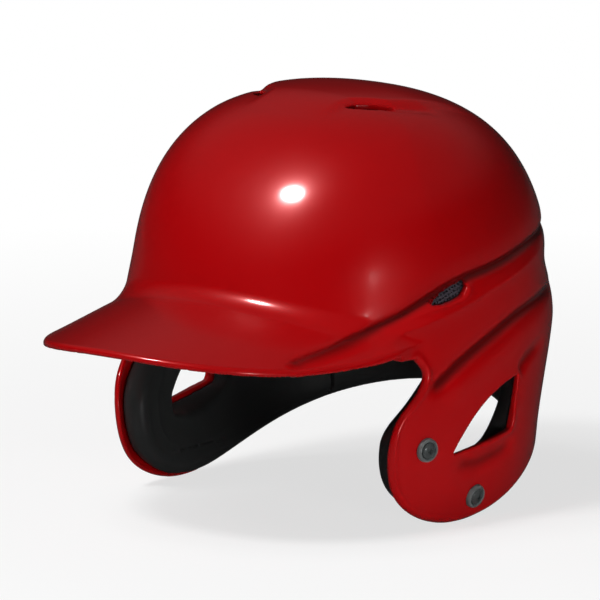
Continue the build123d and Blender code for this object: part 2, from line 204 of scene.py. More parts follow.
def to_line(Q, line, closed=False):
    """Distance from points to a line of short runs, and how far along it they are."""
    a = np.array(line)
    b = np.roll(a, -1, 0) if closed else a[1:]
    a = a if closed else a[:-1]
    run = b - a
    size = np.maximum((run ** 2).sum(1), 1e-12)
    stride = max(1, len(a) // 60)
    marks = np.arange(0, len(a), stride)
    window = np.arange(-3 * stride, 3 * stride + 1)
    best, along = np.empty(len(Q)), np.empty(len(Q))
    for first in range(0, len(Q), 20000):
        q = Q[first:first + 20000]
        near = ((q[:, None, :] - a[marks]) ** 2).sum(2).argmin(1)
        k = marks[near][:, None] + window
        k = k % len(a) if closed else np.clip(k, 0, len(a) - 1)
        apart = q[:, None, :] - a[k]
        t = np.clip((apart * run[k]).sum(2) / size[k], 0.0, 1.0)
        gap = ((apart - t[:, :, None] * run[k]) ** 2).sum(2)
        rows, least = np.arange(len(q)), gap.argmin(1)
        best[first:first + 20000] = np.sqrt(gap[rows, least])
        along[first:first + 20000] = (k[rows, least] + t[rows, least]) / len(run)
    return best, along


def inside_outline(Q, outline):
    a = np.array(outline)
    b = np.roll(a, -1, 0)
    hits = np.zeros(len(Q), bool)
    for (ay, az), (by, bz) in zip(a, b):
        if az != bz:
            crosses = (Q[:, 1] < az) != (Q[:, 1] < bz)
            hits ^= crosses & (Q[:, 0] < ay + (Q[:, 1] - az) * (by - ay) / (bz - az))
    return hits


# A value for places well outside a shape.
FAR = 9.0


class FlatMap:
    """Values on a 1 mm grid, read back by cubic interpolation."""

    def __init__(self, low, high, fill):
        self.low, self.high = np.array(low, float), np.array(high, float)
        self.size = (int(high[0] - low[0]) + 1, int(high[1] - low[1]) + 1)
        i, j = np.meshgrid(*[np.arange(n) for n in self.size], indexing="ij")
        Q = self.low + np.column_stack([i.ravel(), j.ravel()])
        self.values = fill(Q).reshape(self.size)

    def __call__(self, u, v):
        def weights(t):
            return (((2.0 - t) * t - 1.0) * t / 2.0, ((3.0 * t - 5.0) * t * t + 2.0) / 2.0,
                    ((4.0 - 3.0 * t) * t + 1.0) * t / 2.0, (t - 1.0) * t * t / 2.0)
        a = np.clip(u - self.low[0], 1.0, self.size[0] - 2.001)
        b = np.clip(v - self.low[1], 1.0, self.size[1] - 2.001)
        i, j = a.astype(int), b.astype(int)
        total = 0.0
        columns = weights(b - j)
        for di, wi in enumerate(weights(a - i)):
            for dj, wj in enumerate(columns):
                total = total + wi * wj * self.values[i + di - 1, j + dj - 1]
        return total

    def local(self, u, v, side=True):
        """Values on the map's own ground where side holds, and FAR elsewhere."""
        (u0, v0), (u1, v1) = self.low + 1.0, self.high - 1.0
        ground = side & (u > u0) & (u < u1) & (v > v0) & (v < v1)
        return np.where(ground, self(u, v), FAR)


def outline_map(outline, low, high):
    """Signed distance to a closed outline, negative inside it."""
    def fill(Q):
        gap, _ = to_line(Q, outline, closed=True)
        return np.where(inside_outline(Q, outline), -gap, gap)
    return FlatMap(low, high, fill)


def bump(gap, width):
    """A soft rise of 1 at no gap, about twice the width across."""
    return np.exp(-(gap / width) ** 2)


def crease(gap, width, tip):
    """A rise with a narrow crest that falls away evenly."""
    return np.exp(-(np.sqrt(gap * gap + tip * tip) - tip) / width)


def fade(along, start, end):
    """Eases a line's relief in over its start and out over its end."""
    return ease(along / max(start, 1e-6)) * ease((1.0 - along) / max(end, 1e-6))


SIDE_LOW, SIDE_HIGH = (-185.0, -25.0), (165.0, 225.0)
rim_curve = curve_through(RIM)
rim_outline = np.vstack([rim_curve, [
    (170.0, 58.0), (170.0, 300.0), (-300.0, 300.0), (-300.0, 60.0), (-140.0, 80.0),
    (-112.0, 87.6), (-62.0, 88.2)]])
window_outline = round_corners(np.vstack([
    arc(WINDOW_FRONT, WINDOW_TOP, 7.0)[:-1], arc(WINDOW_TOP, WINDOW_REAR, 0.0)[:-1],
    arc(WINDOW_REAR, WINDOW_FRONT, 0.4)[:-1]]), 3.0)
WINDOW_GROUND = (-45.0, 15.0), (60.0, 95.0)

keep_map = outline_map(rim_outline, SIDE_LOW, SIDE_HIGH)
window_map = outline_map(window_outline, *WINDOW_GROUND)
pad_window_map = outline_map(round_corners(PAD_WINDOW, 3.0), *WINDOW_GROUND)
side_vent_map = outline_map(round_corners(SIDE_VENT, 0.5), (-50.0, 95.0), (12.0, 140.0))
crown_vent_map = outline_map(round_corners(CROWN_VENT, 0.6), (8.0, -36.0), (66.0, 26.0))

# Lines that the relief follows on the side of the shell, (y, z).
SIDE_GROOVE = (
    (-122.0, 91.6), (-104.0, 94.7), (-81.6, 98.0), (-65.5, 101.9), (-54.3, 106.1), (-41.7, 111.5),
    (-30.7, 116.9), (-18.9, 121.9), (-7.3, 125.2), (8.6, 127.8), (30.3, 131.7), (56.3, 135.4),
    (100.0, 136.0))
BELT_RIDGE = (
    (-79.5, 92.6), (-62.5, 95.9), (-48.2, 101.3), (-32.0, 105.7), (-20.0, 108.9), (-6.9, 112.8),
    (7.7, 117.4), (24.4, 121.5), (45.5, 126.2), (90.0, 130.0))
VENT_LIP = (
    (-44.0, 107.5), (-34.2, 110.2), (-25.7, 112.0), (-16.5, 113.6), (-9.5, 116.0), (-6.2, 120.0),
    (-5.6, 124.0))
FLAP_GROOVE = (
    (-39.0, 69.0), (-28.8, 73.9), (-18.7, 80.1), (-4.4, 87.3), (10.9, 93.7), (27.9, 99.8),
    (49.3, 103.8), (75.0, 105.5), (100.0, 105.0))
FLAP_SWELL = ((-30.0, 66.0), (0.0, 77.5), (30.0, 88.5), (66.0, 92.5), (98.0, 92.0))
WINDOW_DENT = ((31.5, 70.5), (40.0, 77.0), (52.0, 81.0), (66.0, 82.5))
WINDOW_HOLLOW = (
    (-20.0, 33.5), (-10.0, 31.0), (0.0, 30.0), (10.4, 31.5), (22.1, 34.5), (32.0, 39.5))
REAR_DIP = ((40.0, 117.0), (70.0, 119.0), (96.0, 119.0), (128.0, 119.0))
TEMPLE_FACET = (
    (2.0, 203.0), (-2.0, 201.0), (-16.0, 187.5), (-22.0, 174.0), (-26.0, 151.0), (-27.0, 135.0))
CROWN_STEP = ((38.0, -8.0), (44.0, 1.0), (52.0, 14.0), (60.0, 24.0))

# Ridges and bumps along those lines: line, shape, height, widths, and the shares of the
# line's length over which the relief eases in and out.
STROKES = (
    (SIDE_GROOVE, bump, -1.9, (2.0,), 0.05, 0.10),
    (BELT_RIDGE, crease, 1.5, (3.6, 0.5), 0.30, 0.42),
    (VENT_LIP, crease, 0.9, (1.9, 0.5), 0.35, 0.10),
    (FLAP_GROOVE, bump, -1.9, (2.8,), 0.10, 0.20),
    (FLAP_GROOVE, bump, -1.0, (6.0,), 0.10, 0.20),
    (FLAP_SWELL, bump, 1.1, (7.5,), 0.12, 0.28),
    (WINDOW_DENT, bump, -1.9, (3.6,), 0.15, 0.55),
    (WINDOW_HOLLOW, bump, -1.7, (4.6,), 0.25, 0.25),
    (TEMPLE_FACET, crease, 0.35, (7.0, 0.6), 0.2, 0.3),
)
LINE_STEP = 1.5
GROOVE_BED, LIP_HEIGHT, ROLL_HEIGHT = -1.2, 1.0, 0.75
DIP_DEPTH, DIP_WIDTH = -2.6, 11.0
PANEL_HEIGHT, STEP_DEPTH = 2.0, 0.9


def to_curve(Q, points):
    return to_line(Q, curve_through(points, step=LINE_STEP))


def rear_dip(Q):
    """The shallow hollow behind the side vents."""
    gap, along = to_curve(Q, REAR_DIP)
    return DIP_DEPTH * bump(gap, DIP_WIDTH) * fade(along, 0.55, 0.05)


def side_relief(Q):
    gap, along = to_curve(Q, SIDE_GROOVE)
    height = GROOVE_BED * bump(gap, 6.0) * ease(along / 0.5) * fade(along, 0.05, 0.10)
    for points, shape, rise, widths, start, end in STROKES:
        gap, along = to_curve(Q, points)
        height += rise * shape(gap, *widths) * fade(along, start, end)
    window = window_map.local(Q[:, 0], Q[:, 1])
    below = ease((Q[:, 0] * 0.55 - Q[:, 1] + 42.0) / 10.0)
    lip = LIP_HEIGHT * crease(np.maximum(window - 1.6, 0.0), 1.8, 0.5) * below
    height += np.where(window < FAR, lip, 0.0)
    gap, along = to_line(Q, rim_curve)
    return height + ROLL_HEIGHT * bump(gap - 2.0, 1.6) * (1.0 - ease((along - 0.30) / 0.30))


def crown_relief(Q):
    x, y = np.abs(Q[:, 0]), Q[:, 1]
    edge = np.interp(y, (-60.0, -16.5, -10.0, -4.7, 3.0, 18.0, 50.0, 90.0),
                     (24.0, 27.0, 28.7, 33.6, 43.0, 50.0, 57.0, 60.0))
    panel = ease((edge - x + 3.0) / 9.0) * ease((y + 34.0) / 26.0) * (1.0 - ease((y - 14.0) / 50.0))
    gap, along = to_curve(np.column_stack([x, y]), CROWN_STEP)
    return PANEL_HEIGHT * panel - STEP_DEPTH * bump(gap, 3.2) * fade(along, 0.3, 0.5)


side_map = FlatMap(SIDE_LOW, SIDE_HIGH, side_relief)
dip_map = FlatMap((20.0, 70.0), SIDE_HIGH, rear_dip)
crown_map = FlatMap((-2.0, -130.0), (110.0, 135.0), crown_relief)


# ---------------- shell
# Axis lines of the four jaw guard fasteners, read from the joints: (point, axis).
FASTENERS = {
    joint["name"].replace("_turns", ""): (
        (np.array(joint["pos_m"]) - ORIGIN) / MM, np.array(joint["axis"]))
    for joint in frame["joints"] if joint["type"] == "hinge"
}
LEFT_HOLES = [FASTENERS[name] for name in ("front_left", "lower_left")]


def from_axis(P, place, axis):
    """Distance from a fastener's axis, and height along it from the head form."""
    apart = np.column_stack([np.abs(P[:, 0]), P[:, 1], P[:, 2]]) - place
    depth = apart @ axis
    return np.sqrt(np.maximum((apart ** 2).sum(1) - depth ** 2, 0.0)), depth


def on_side(P):
    """Brings the side's relief in, away from the middle."""
    return ease((np.abs(P[:, 0]) - 22.0) / 24.0)


def detail_at(P):
    """Height of the moulded ridges, grooves and panel above the head form."""
    crown = crown_map(np.abs(P[:, 0]), P[:, 1]) * ease((P[:, 2] - 150.0) / 25.0)
    return side_map(P[:, 1], P[:, 2]) * on_side(P) + crown


def relief_at(P):
    return detail_at(P) + dip_map(P[:, 1], P[:, 2]) * on_side(P)


def dented(relief):
    """How far grooves push the inside of the shell and what lies behind it inwards."""
    return 0.75 * np.minimum(relief, 0.0)


def wall_at(P):
    """The shell's thickness, which tapers towards the flaps' front edges."""
    return WALL - THIN_FLAP * ease((-30.0 - P[:, 1]) / 18.0) * ease((80.0 - P[:, 2]) / 10.0)


def vent_slots(P):
    """The side and crown vents' ways through, negative inside them."""
    x, y, z = np.abs(P[:, 0]), P[:, 1], P[:, 2]
    return side_vent_map.local(y, z, x > SIDE_FROM), crown_vent_map.local(x, y, z > CROWN_FROM)


def shell_field(P):
    """The shell: dome and visor less the room for the head, cut to its rim and openings."""
    x, y, z = np.abs(P[:, 0]), P[:, 1], P[:, 2]
    dome = distance(form_level, P)
    relief = relief_at(P)
    dent = dented(relief)
    brim = above_visor(P)
    visor = crossed(brim - BRIM_RELIEF * relief, distance(plan_level, P), BRIM_EDGE)
    visor = np.maximum(visor + VISOR_SINK * ease((y + 59.0) / 24.0), y - VISOR_END_Y)
    fillet = FILLET + FILLET_GAIN * ease((-40.0 - y) / 24.0)
    outer = np.where(z > VISOR_LOW, joined(dome - relief, visor, fillet), dome - relief)
    under = np.maximum(y - SKIRT_FRONT_Y, THROAT_HEIGHT - z)
    under = crossed(brim + WALL - dent, under, 2.0)
    cavity = joined(dome + wall_at(P) - dent, under, 3.0)
    softness = 0.5 + 1.0 * ease((-36.0 - y) / 10.0) * ease((z - 76.0) / 8.0)
    shell = crossed(crossed(outer, -cavity, softness), keep_map(y, z), RIM_EDGE)
    shell = crossed(shell, -window_map.local(y, z, x > SIDE_FROM), WINDOW_EDGE)
    for slot in vent_slots(P):
        shell = crossed(shell, -slot, VENT_EDGE)
    for place, axis in LEFT_HOLES:
        away, depth = from_axis(P, place, axis)
        holed = crossed(shell, HOLE_RADIUS - away, HOLE_EDGE)
        shell = np.where(np.abs(depth) < HOLE_REACH, holed, shell)
    return shell


# ---------------- meshes from fields
CORNERS = [(i, j, k) for i in (0, 1) for j in (0, 1) for k in (0, 1)]
BLOCK = 4


def slopes(field, P, step=0.08):
    """A field's slope along each axis."""
    parts = [field(P + step * e) - field(P - step * e) for e in np.eye(3)]
    return np.column_stack(parts) / (2.0 * step)


def settle(field, P, reach, rounds=3):
    """Moves points onto the surface of a field."""
    for _ in range(rounds):
        slope = slopes(field, P)
        push = field(P) / np.maximum((slope ** 2).sum(1), 0.04)
        P = P - np.clip(push, -reach, reach)[:, None] * slope
    return P


def corner(values, c, shape):
    """The part of a grid that starts at a cell's corner c and has this shape."""
    return values[tuple(slice(first, first + size) for first, size in zip(c, shape))]


def skin(field, low, high, step, symmetric):
    """Points and four-sided faces on a field's surface. A symmetric one is made on the left."""
    low = np.array(low, float)
    if symmetric:
        low[0] = -step / 2.0
    blocks = [int(math.ceil((high[k] - low[k]) / step / BLOCK)) for k in range(3)]
    axes = [low[k] + step * np.arange(BLOCK * blocks[k] + 1) for k in range(3)]
    rough = np.stack(np.meshgrid(*[a[::BLOCK] for a in axes], indexing="ij"), -1)
    rough_values = field(rough.reshape(-1, 3)).reshape(rough.shape[:3])
    near = np.abs(rough_values) < 5.0 * step
    block = np.zeros(blocks, bool)
    for c in CORNERS:
        block |= corner(near, c, blocks)
    fine = np.ones((BLOCK, BLOCK, BLOCK), bool)
    F = corner(np.kron(rough_values, fine), (0, 0, 0), [len(a) for a in axes])
    F = np.where(F > 0.0, FAR, -FAR)
    wanted = np.zeros(F.shape, bool)
    cells = np.kron(block, fine).astype(bool)
    for c in CORNERS:
        part = corner(wanted, c, cells.shape)
        part |= cells
    index = np.argwhere(wanted)
    for first in range(0, len(index), 200000):
        some = index[first:first + 200000]
        F[tuple(some.T)] = field(low + step * some)
    inside = F < 0.0
    shape = [n - 1 for n in F.shape]
    count = sum(corner(inside, c, shape).astype(np.int8) for c in CORNERS)
    cell = np.argwhere((count > 0) & (count < 8))
    total, crossings = np.zeros((len(cell), 3)), np.zeros(len(cell))
    at_corner = [F[tuple((cell + c).T)] for c in CORNERS]
    for m, a in enumerate(CORNERS):
        for n, b in enumerate(CORNERS):
            if m < n and sum(abs(p - q) for p, q in zip(a, b)) == 1:
                fa, fb = at_corner[m], at_corner[n]
                cut = (fa < 0.0) != (fb < 0.0)
                t = np.where(cut, fa / np.where(cut, fa - fb, 1.0), 0.0)[:, None]
                total += np.where(cut[:, None], np.array(a) + t * (np.array(b) - np.array(a)), 0.0)
                crossings += cut
    points = low + step * (cell + total / crossings[:, None])
    number = np.full(shape, -1)
    number[tuple(cell.T)] = np.arange(len(cell))
    faces = []
    for axis in range(3):
        before = [slice(1, None)] * 3
        before[axis] = slice(0, -1)
        u, v = (axis + 1) % 3, (axis + 2) % 3
        here, there = inside[tuple(before)], inside[1:, 1:, 1:]
        edge = np.argwhere(here != there) + 1
        edge[:, axis] -= 1
        edge = edge[(edge[:, u] < shape[u]) & (edge[:, v] < shape[v])]
        outward = inside[tuple(edge.T)]
        quad = []
        for du, dv in ((-1, -1), (0, -1), (0, 0), (-1, 0)):
            c = edge.copy()
            c[:, u] += du
            c[:, v] += dv
            quad.append(number[tuple(c.T)])
        quad = np.stack(quad, 1)
        faces.append(np.where(outward[:, None], quad, quad[:, ::-1]))
    faces = np.vstack(faces)
    middle = cell[:, 0] == 0 if symmetric else np.zeros(len(cell), bool)
    return points, faces, middle


def relaxed(field, points, faces, middle, step):
    """Evens out a skin along its surface."""
    pairs = np.vstack([faces[:, [0, 1]], faces[:, [1, 2]], faces[:, [2, 3]], faces[:, [3, 0]]])
    pairs = np.vstack([pairs, pairs[:, ::-1]])
    for _ in range(2):
        total = np.zeros_like(points)
        for axis in range(3):
            total[:, axis] = np.bincount(pairs[:, 0], points[pairs[:, 1], axis], len(points))
        mean = total / np.bincount(pairs[:, 0], minlength=len(points))[:, None]
        mean[middle, 0] = 0.0
        points = settle(field, points + 0.5 * (mean - points), step * 0.6, 1)
        points[middle, 0] = 0.0
    return points


def both_sides(points, faces, middle):
    """Adds a skin's mirror image, sharing the points on the middle plane."""
    other = np.where(middle, np.arange(len(points)), len(points) + np.cumsum(~middle) - 1)
    mirrored = points[~middle] * (-1.0, 1.0, 1.0)
    return np.vstack([points, mirrored]), np.vstack([faces, other[faces][:, ::-1]])


def linked(name, data):
    """A new object in the scene for this data."""
    made = bpy.data.objects.new(name, data)
    bpy.context.scene.collection.objects.link(made)
    return made


def mesh_of(name, points, faces):
    mesh = bpy.data.meshes.new(name)
    mesh.from_pydata((points * MM + ORIGIN).tolist(), [], faces.tolist())
    mesh.validate()
    mesh.polygons.foreach_set("use_smooth", np.ones(len(mesh.polygons), bool))
    return linked(name, mesh)


def only(piece):
    bpy.ops.object.select_all(action="DESELECT")
    piece.select_set(True)
    bpy.context.view_layer.objects.active = piece


@contextmanager
def edit_mode(piece):
    """Edit mode with all of a piece selected."""
    only(piece)
    bpy.ops.object.mode_set(mode="EDIT")
    bpy.ops.mesh.select_all(action="SELECT")
    yield
    bpy.ops.object.mode_set(mode="OBJECT")


def applied(piece, kind, **settings):
    """Adds a modifier and applies it."""
    only(piece)
    modifier = piece.modifiers.new(kind.title(), kind)
    for key, value in settings.items():
        setattr(modifier, key, value)
    bpy.ops.object.modifier_apply(modifier=modifier.name)


def vertices_of(piece):
    co = np.empty(len(piece.data.vertices) * 3)
    piece.data.vertices.foreach_get("co", co)
    return co.reshape(-1, 3)


def set_vertices(piece, co):
    piece.data.vertices.foreach_set("co", co.ravel())
    piece.data.update()


def polished(piece, field, reach):
    """Puts a thinned mesh back on its field and takes its shading from the field."""
    points = settle(field, (vertices_of(piece) - ORIGIN) / MM, reach, 2)
    slope = slopes(field, points)
    normals = slope / np.maximum(np.linalg.norm(slope, axis=1), 1e-9)[:, None]
    set_vertices(piece, points * MM + ORIGIN)
    piece.data.normals_split_custom_set_from_vertices(normals.tolist())
    return piece


def from_field(name, field, low, high, step, most, symmetric=False):
    """A piece on a field's surface, thinned to at most so many triangles."""
    points, faces, middle = skin(field, low, high, step, symmetric)
    points = settle(field, points, step * 0.6)
    points[middle, 0] = 0.0
    points = relaxed(field, points, faces, middle, step)
    if symmetric:
        points, faces = both_sides(points, faces, middle)
    piece = mesh_of(name, points, faces)
    if 2 * len(faces) > most:
        applied(piece, "DECIMATE", ratio=most / (2 * len(faces)))
    return polished(piece, field, step * 0.3)


def copy_of(piece, name):
    copy = piece.copy()
    copy.data = piece.data.copy()
    copy.name = copy.data.name = name
    bpy.context.scene.collection.objects.link(copy)
    return copy


def mirrored_copy(piece, name):
    """A piece's mirror image on the other side, with its shading."""
    mesh, shading = piece.data, {}
    if mesh.has_custom_normals:
        for loop, n in zip(mesh.loops, mesh.corner_normals):
            shading[loop.vertex_index] = (-n.vector.x, n.vector.y, n.vector.z)
    copy = copy_of(piece, name)
    copy.data.transform(Matrix.Scale(-1.0, 4, Vector((1.0, 0.0, 0.0))))
    copy.data.flip_normals()
    if shading:
        normals = [shading[i] for i in range(len(mesh.vertices))]
        copy.data.normals_split_custom_set_from_vertices(normals)
    return copy


# ---------------- foam pads and liner
EAR_PAD_BACK, PAD_TOP = 76.0, 93.0
PAD_FRONT = ((-22.0, 82.0), (-50.0, 57.0))
PAD_START, PAD_END, PAD_THICKNESS = 0.4, 16.6, 12.7
LINER_START, LINER_END, LINER_LOW = 5.2, 13.0, 96.2
SEAM_HALF = 0.15
# Room in the ear pads for the nuts and the screws' ends: (radius, depth below the form).
POCKET = ((7.4, 5.9), (3.4, 8.9))


def pad_sheet(P, edge, swell):
    """A thick soft sheet behind the shell, crowned towards the head, within an edge field."""
    outer = distance(form_level, P, PAD_START) + wall_at(P) - dented(relief_at(P))
    inner = -distance(form_level, P, PAD_END) - swell
    return crossed(crossed(outer, edge, 2.2), inner, 8.0), -outer


def pad_edge(P):
    """Edge shared by the ear and nape pads: their rim and their level top."""
    inset = 2.0 + 2.0 * ease((-18.0 - P[:, 1]) / 26.0)
    return crossed(P[:, 2] - PAD_TOP, keep_map(P[:, 1], P[:, 2]) + inset, 4.0)


def pad_swell(gap):
    """How much a pad rises towards its middle, by the distance from its edge."""
    return 1.6 * ease(gap / 26.0) - 1.2


def pad_window(P, depth):
    """The ear window's way through the pad, wider and lower towards the head."""
    y, z, side = P[:, 1], P[:, 2], P[:, 0] > 20.0
    share = np.clip(depth / PAD_THICKNESS, 0.0, 1.0)
    return ((1.0 - share) * (window_map.local(y, z, side) - 1.0)
            + share * pad_window_map.local(y, z, side))


def under_visor(P, drop):
    behind = np.maximum(P[:, 1] - FLAP_FRONT_Y, THROAT_HEIGHT - P[:, 2])
    return np.maximum(above_visor(P) + WALL - drop, behind)


def ear_pad_field(P):
    (y0, z0), (y1, z1) = PAD_FRONT
    run = math.hypot(y1 - y0, z1 - z0)
    ahead = ((z1 - z0) * (P[:, 1] - y0) - (y1 - y0) * (P[:, 2] - z0)) / run
    edge = crossed(crossed(pad_edge(P), -under_visor(P, 0.3), 2.0), ahead, 9.0)
    gap = np.minimum(-edge, pad_window(P, np.full(len(P), PAD_THICKNESS)))
    pad, depth = pad_sheet(P, edge, pad_swell(gap))
    pad = crossed(pad, -pad_window(P, depth), 2.0)
    for place, axis in LEFT_HOLES:
        away, height = from_axis(P, place, axis)
        pocket = np.minimum(*(np.maximum(away - radius, -deep - height) for radius, deep in POCKET))
        pad = np.where(height > -14.0, np.maximum(pad, -pocket), pad)
    return crossed(pad, P[:, 1] - EAR_PAD_BACK + SEAM_HALF, 0.5)


def nape_pad_field(P):
    edge = pad_edge(P)
    pad, _ = pad_sheet(P, edge, pad_swell(-edge))
    return crossed(pad, EAR_PAD_BACK + SEAM_HALF - P[:, 1], 0.5)


def liner_field(P):
    outer = distance(form_level, P, LINER_START) - dented(relief_at(P))
    inner = distance(form_level, P, LINER_END)
    edge = np.maximum(LINER_LOW - P[:, 2], -under_visor(P, 0.4))
    liner = crossed(np.maximum(outer, -inner), edge, 2.4)
    for slot in vent_slots(P):
        liner = crossed(liner, 0.5 - slot, 1.2)
    return liner


# ---------------- materials
class Net:
    """A shader node tree, with shorthand for adding nodes and linking them."""

    def __init__(self, tree):
        self.nodes, self.links = tree.nodes, tree.links

    def put(self, socket, value):
        """Links a socket to another one or, for a plain value, sets it."""
        if isinstance(value, bpy.types.NodeSocket):
            self.links.new(value, socket)
        else:
            socket.default_value = value

    def add(self, kind, inputs=(), out=0, **settings):
        """Adds a node with its inputs, listed or named, and returns one of its outputs."""
        node = self.nodes.new("ShaderNode" + kind)
        for key, value in settings.items():
            setattr(node, key, value)
        for key, value in inputs.items() if isinstance(inputs, dict) else enumerate(inputs):
            self.put(node.inputs[key], value)
        return node.outputs[out]

    def math(self, operation, *values):
        return self.add("Math", values, operation=operation)

    def noise(self, vector, scale, detail):
        return self.add("TexNoise", {"Vector": vector, "Scale": scale, "Detail": detail}, "Fac")

    def scaled(self, color, factor):
        return self.add("VectorMath", {0: color, "Scale": factor}, operation="SCALE")


def node_group(name, inputs, outputs):
    """A new shader node group: its tree, a net in it, what it takes and what it gives."""
    group = bpy.data.node_groups.new(name, "ShaderNodeTree")
    for way, sockets in (("INPUT", inputs), ("OUTPUT", outputs)):
        for socket, kind in sockets.items():
            group.interface.new_socket(socket, in_out=way, socket_type="NodeSocket" + kind)
    taken, given = group.nodes.new("NodeGroupInput"), group.nodes.new("NodeGroupOutput")
    return group, Net(group), taken.outputs, given.inputs


@cache
def soft_variation():
    """Colour that drifts a little over a surface."""
    group, net, taken, given = node_group(
        "soft_variation",
        {"Color": "Color", "Amount": "Float", "Scale": "Float", "Vector": "Vector"},
        {"Color": "Color"})
    spread = net.math("SUBTRACT", net.noise(taken["Vector"], taken["Scale"], 3.0), 0.5)
    change = net.math("MULTIPLY_ADD", spread, taken["Amount"], 1.0)
    net.put(given["Color"], net.scaled(taken["Color"], change))
    return group


@cache
def fine_grain():
    """Height of a fine moulded or sprayed texture, and its coarse waves as a mask."""
    group, net, taken, given = node_group(
        "fine_grain",
        {"Vector": "Vector", "Fine": "Float", "Coarse": "Float", "Coarse share": "Float"},
        {"Height": "Float", "Mask": "Float"})
    fine = net.noise(taken["Vector"], taken["Fine"], 2.0)
    coarse = net.noise(taken["Vector"], taken["Coarse"], 1.0)
    kept = net.math("MULTIPLY", coarse, taken["Coarse share"])
    net.put(given["Height"], net.math("ADD", fine, kept))
    net.put(given["Mask"], coarse)
    return group


@cache
def pebble_cells():
    """Height of closed cells, as in bead foam or a pebbled skin."""
    group, net, taken, given = node_group(
        "pebble_cells", {"Vector": "Vector", "Scale": "Float"}, {"Height": "Float"})
    cells = {"Vector": taken["Vector"], "Scale": taken["Scale"]}
    away = net.add("TexVoronoi", cells, "Distance", feature="F1")
    net.put(given["Height"], net.math("SUBTRACT", 1.0, net.math("MULTIPLY", away, away)))
    return group


def painted_groove_shade(finish, depth):
    """Paints shade into a finish: darkens its base colour where the piece's recess attribute is high, standing in
    for the shadow in grooves.
    """
    net = Net(finish.node_tree)
    base = net.nodes["Principled BSDF"].inputs["Base Color"]
    recess = net.add("Attribute", (), "Fac", attribute_name="recess")
    kept = net.math("MULTIPLY_ADD", recess, -depth, 1.0)
    net.put(base, net.scaled(base.links[0].from_socket, kept))


def material(name, color, amount, drift, roughness, fine, coarse, depth, strength,
             share=0.5, cells=None, **settings):
    """A moulded or painted surface: drifting colour, uneven roughness and fine relief.

    Roughness is (middle, spread), and cells are (scale, depth).
    """
    made = bpy.data.materials.new(name)
    made.use_nodes = True
    net = Net(made.node_tree)
    place = net.add("TexCoord", (), "Object")
    tint = {"Color": (*color, 1.0), "Amount": amount, "Scale": drift, "Vector": place}
    tint = net.add("Group", tint, "Color", node_tree=soft_variation())
    grain = {"Vector": place, "Fine": fine, "Coarse": coarse, "Coarse share": share}
    height = net.add("Group", grain, "Height", node_tree=fine_grain())
    middle, spread = roughness
    rough = net.math("MULTIPLY_ADD", height.node.outputs["Mask"], 2.0 * spread, middle - spread)
    relief = {"Distance": depth, "Strength": strength, "Height": height}
    normal = net.add("Bump", relief, "Normal")
    if cells:
        pebble = {"Vector": place, "Scale": cells[0]}
        pebble = net.add("Group", pebble, "Height", node_tree=pebble_cells())
        relief = {"Distance": cells[1], "Strength": strength, "Height": pebble}
        normal = net.add("Bump", {**relief, "Normal": normal}, "Normal")
    inputs = {"Base Color": tint, "Roughness": rough, "Normal": normal, **settings}
    for key, value in inputs.items():
        net.put(net.nodes["Principled BSDF"].inputs[key.replace("_", " ")], value)
    return made


red_paint = material(
    "red_gloss_paint", (0.36, 0.0, 0.0012), amount=0.10, drift=9.0, roughness=(0.30, 0.03),
    fine=900.0, coarse=260.0, share=0.8, depth=0.000008, strength=0.2,
    Coat_Weight=1.0, Coat_Roughness=0.13, Specular_IOR_Level=0.9,
    Specular_Tint=(1.0, 0.2, 0.2, 1.0))
# Painted shade: the red is darkened in the shell's grooves and recesses.
painted_groove_shade(red_paint, 0.72)
pad_skin = material(
    "black_pad_skin", (0.020, 0.021, 0.021), amount=0.4, drift=30.0, roughness=(0.38, 0.05),
    fine=1500.0, coarse=500.0, share=0.6, depth=0.00003, strength=0.4)
liner_foam = material(
    "dark_bead_foam", (0.020, 0.020, 0.022), amount=0.4, drift=60.0, roughness=(0.75, 0.08),
    fine=2200.0, coarse=700.0, depth=0.00004, strength=0.5,
    cells=(330.0, 0.0004))
comfort_cloth = material(
    "black_comfort_cloth", (0.015, 0.015, 0.017), amount=0.5, drift=80.0,
    roughness=(0.85, 0.05), fine=3500.0, coarse=1200.0, depth=0.00006, strength=0.6,
    cells=(900.0, 0.00015), Sheen_Weight=0.25, Sheen_Roughness=0.5)
mesh_plastic = material(
    "grey_mesh_plastic", (0.060, 0.052, 0.066), amount=0.3, drift=100.0,
    roughness=(0.45, 0.08), fine=2600.0, coarse=900.0, depth=0.00003, strength=0.4)
dark_steel = material(
    "dark_steel", (0.20, 0.22, 0.22), amount=0.3, drift=300.0, roughness=(0.20, 0.05),
    fine=4000.0, coarse=1500.0, depth=0.000006, strength=0.2, Metallic=0.8)
grey_metal = material(
    "satin_grey_metal", (0.15, 0.16, 0.16), amount=0.15, drift=300.0, roughness=(0.38, 0.06),
    fine=5000.0, coarse=1500.0, depth=0.000008, strength=0.3, Metallic=0.35)
zinc = material(
    "zinc_plate", (0.55, 0.55, 0.52), amount=0.25, drift=400.0, roughness=(0.36, 0.08),
    fine=4000.0, coarse=1200.0, depth=0.00001, strength=0.3, Metallic=1.0)


def dress(piece, finish, body, node):
    """Gives a new piece its material and body, and hides the CAD node it stands for."""
    piece.data.materials.clear()
    piece.data.materials.append(finish)
    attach(piece, body)
    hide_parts(node)


# ---------------- camera
AZIMUTH, ELEVATION = math.radians(39.982), math.radians(10.594)
CAMERA_TARGET, CAMERA_DISTANCE = Vector((-0.0082, 0.0136, 0.1011)), 5.128
LENS, SENSOR = 610.7, 36.0


